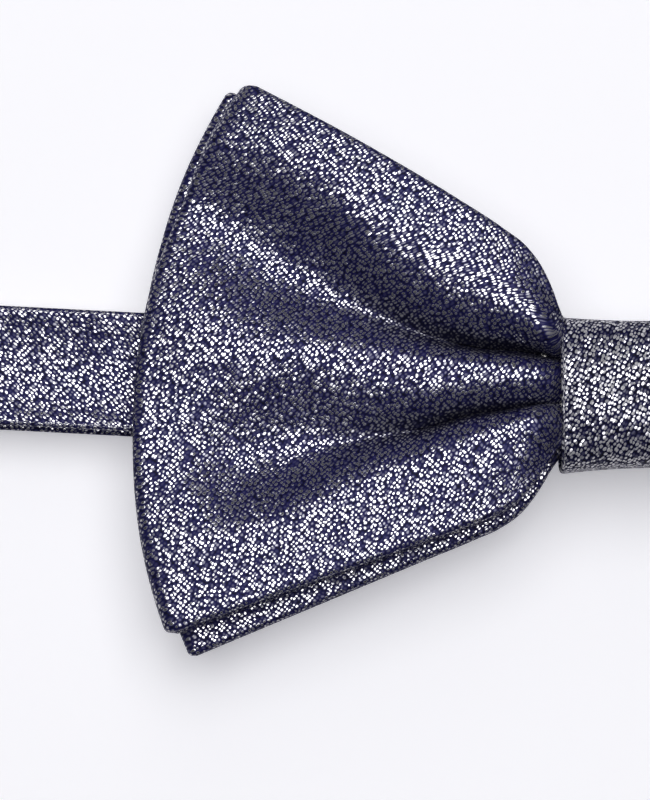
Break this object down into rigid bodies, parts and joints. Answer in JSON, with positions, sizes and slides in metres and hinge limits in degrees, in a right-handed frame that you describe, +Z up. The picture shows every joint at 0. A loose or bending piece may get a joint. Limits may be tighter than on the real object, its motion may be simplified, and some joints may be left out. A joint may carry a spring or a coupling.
{
  "type": "bow tie",
  "caption": "Pre-tied gentleman's bow tie in dotted navy and silver silk, with an adjustable neck strap, slider, hook and eye.",
  "frame": {"origin": "on the table straight below the middle of the knot, midway between the strap's fold and the hook's tip", "axes": "+Z up out of the table through the knot, +X along the neck strap towards the hook, +Y across the strap"},
  "size_m": [0.25, 0.074, 0.0184],
  "materials": {
    "patterned_silk": "satin",
    "lining_cloth": "matte",
    "felt": "matte",
    "thread": "satin",
    "nickel_plate": "polished"
  },
  "bodies": {
    "bow_and_front_strap": {"front_bow_shell": "patterned_silk", "front_bow_interlining": "lining_cloth", "back_bow_shell": "patterned_silk", "back_bow_interlining": "lining_cloth", "gather_thread": "thread", "knot_padding": "felt", "knot_wrap": "patterned_silk", "knot_back_stitches": "thread", "strap_front": "patterned_silk", "strap_eye_end": "patterned_silk", "strap_front_interlining": "lining_cloth", "eye_bar_tack": "thread", "strap_fold": "patterned_silk", "strap_fold_interlining": "lining_cloth"},
    "rear_strap": {"strap_rear": "patterned_silk", "strap_rear_interlining": "lining_cloth"},
    "strap_end": {"strap_end_loop": "patterned_silk"},
    "slider": {"slider": "nickel_plate", "slider_bar_tack": "thread"},
    "hook": {"hook": "nickel_plate"},
    "eye": {"eye": "nickel_plate"}
  },
  "joints": [
    {"name": "strap_unfold", "type": "hinge", "parent": "bow_and_front_strap", "child": "rear_strap", "pos_m": [-0.122, 0, 0.0039], "axis": [0, 1, 0], "range_deg": [0, 180], "deforming": ["strap_fold", "strap_fold_interlining"]},
    {"name": "strap_adjust", "type": "slide", "parent": "rear_strap", "child": "strap_end", "axis": [-1, 0, 0], "range_m": [0, 0.03], "deforming": ["strap_end_loop"]},
    {"name": "slider_travel", "type": "slide", "parent": "strap_end", "child": "slider", "axis": [-1, 0, 0], "range_m": [0, 0.03]},
    {"name": "hook_pivot", "type": "hinge", "parent": "strap_end", "child": "hook", "pos_m": [0.113, 0, 0.00265], "axis": [0, 1, 0], "range_deg": [-90, 0]},
    {"name": "eye_pivot", "type": "hinge", "parent": "bow_and_front_strap", "child": "eye", "pos_m": [0.0675, 0, 0.0054], "axis": [0, -1, 0], "range_deg": [0, 90]}
  ],
  "couplings": [
    {"joint": "slider_travel", "follows": "strap_adjust", "ratio": 1}
  ]
}
